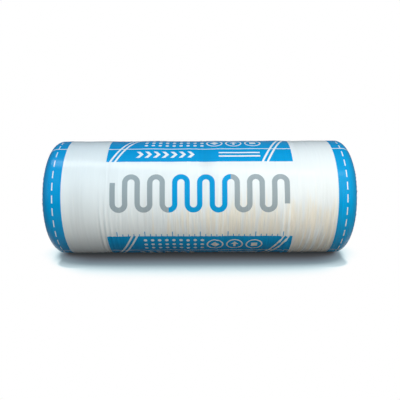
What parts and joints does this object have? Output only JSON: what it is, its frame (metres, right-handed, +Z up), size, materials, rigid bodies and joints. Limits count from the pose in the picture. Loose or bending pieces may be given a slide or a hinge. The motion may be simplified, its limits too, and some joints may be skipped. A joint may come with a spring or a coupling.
{
  "type": "insulation roll",
  "caption": "Roll of mineral-wool insulation wound without a core and wrapped in printed plastic film drawn in over both ends, lying on its side.",
  "frame": {"origin": "on the floor, straight under the middle of the roll", "axes": "+X along the roll's axis, +Z up, and the side that the picture shows faces -Y"},
  "size_m": [1.14, 0.44, 0.4399],
  "materials": {
    "wool": "matt matted fibres, brown mineral wool",
    "film": "glossy white polyethylene film with printed blue bands and panels"
  },
  "bodies": {
    "root": {"wool_roll": "wool", "film_wrap": "film"}
  },
  "joints": []
}
